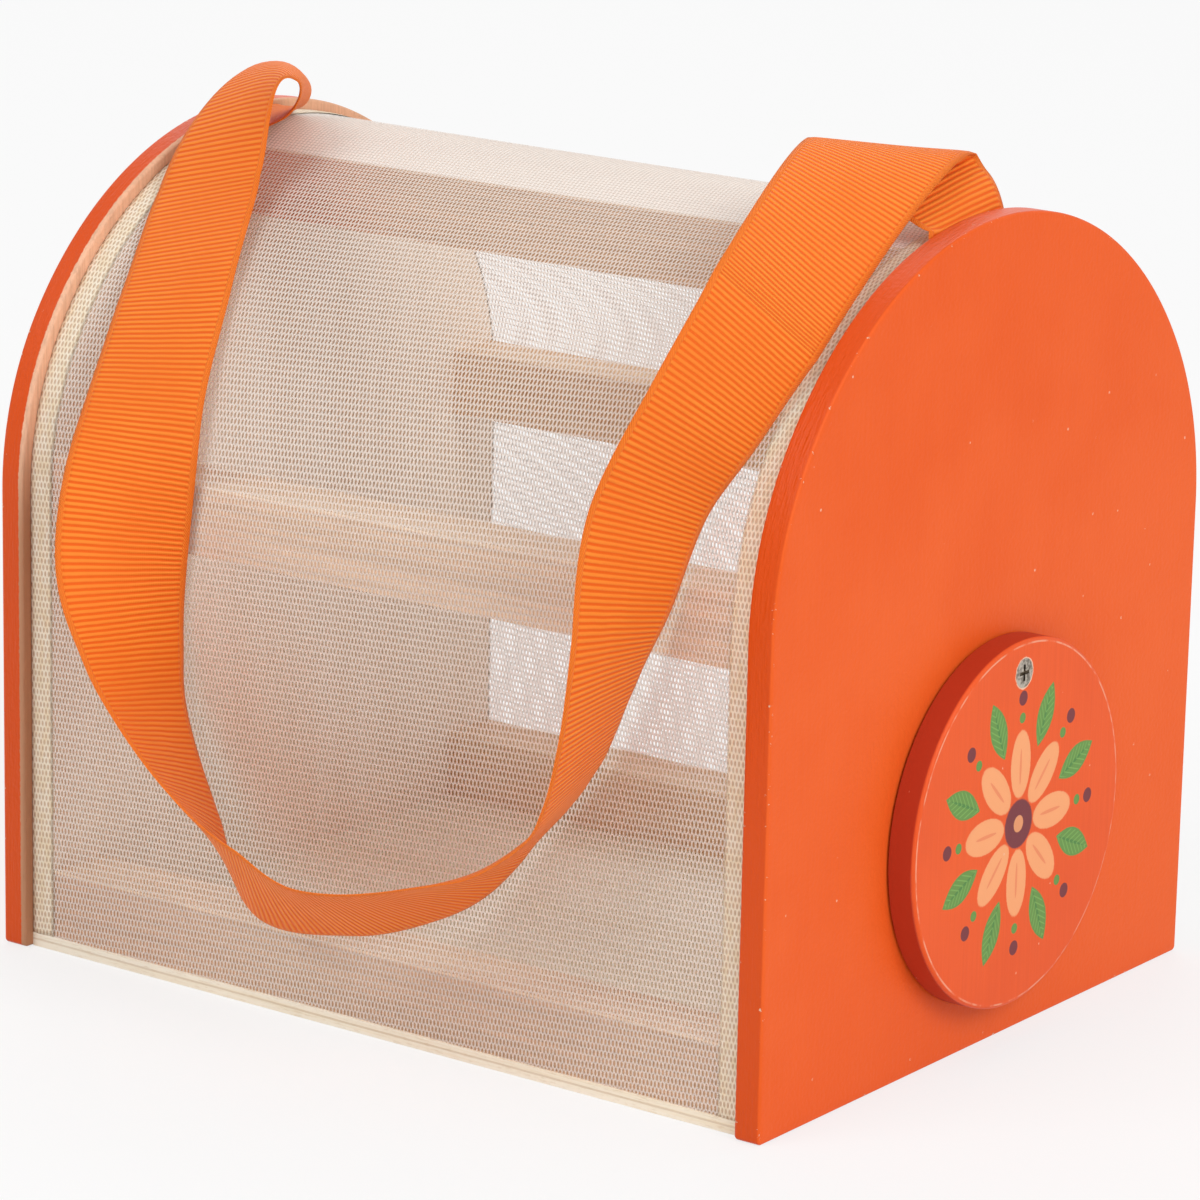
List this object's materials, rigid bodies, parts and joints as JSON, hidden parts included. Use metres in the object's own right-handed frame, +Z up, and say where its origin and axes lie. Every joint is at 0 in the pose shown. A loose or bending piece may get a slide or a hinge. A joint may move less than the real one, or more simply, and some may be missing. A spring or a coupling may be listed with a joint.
{
  "type": "insect carrier cage",
  "caption": "Small arched wooden insect cage with a net wrap, a ribbon handle and a round door that swings on one screw.",
  "frame": {"origin": "centre of the base, on the surface that the cage stands on", "axes": "+Z up, +X along the length towards the end with the round door, -Y towards the side where the ribbon handle hangs"},
  "size_m": [0.186, 0.1742, 0.1709],
  "materials": {
    "painted_wood": "satin paint",
    "door_paint": "satin paint with a printed design",
    "plate_wood": "bare",
    "rail_wood": "bare",
    "plywood": "bare",
    "net": "open knit net",
    "hem_tape": "woven tape",
    "ribbon": "ribbed ribbon",
    "steel": "plain",
    "screw_steel": "plain",
    "nylon": "matte"
  },
  "bodies": {
    "root": {"left_end_panel": "painted_wood", "right_end_panel": "painted_wood", "left_inner_plate": "plate_wood", "right_inner_plate": "plate_wood", "floor_board": "plywood", "front_bottom_rail": "rail_wood", "back_bottom_rail": "rail_wood", "front_middle_rail": "rail_wood", "back_middle_rail": "rail_wood", "top_rail": "rail_wood", "left_frame_nails": "steel", "right_frame_nails": "steel", "floor_nails": "steel", "net_screen": "net", "left_hem_tape": "hem_tape", "right_hem_tape": "hem_tape", "left_ribbon_tail": "ribbon", "right_ribbon_tail": "ribbon", "left_ribbon_staple": "steel", "right_ribbon_staple": "steel", "door_washer": "nylon", "door_screw": "screw_steel"},
    "handle": {"handle_ribbon": "ribbon"},
    "door": {"door_disc": "door_paint"}
  },
  "joints": [
    {"name": "door_swing", "type": "hinge", "parent": "root", "child": "door", "pos_m": [0.09325, 0.0015, 0.0729], "axis": [1, 0, 0], "continuous": true},
    {"name": "handle_lift", "type": "hinge", "parent": "root", "child": "handle", "pos_m": [0, -0.026, 0.17], "axis": [-1, 0, 0], "range_deg": [0, 150]}
  ]
}
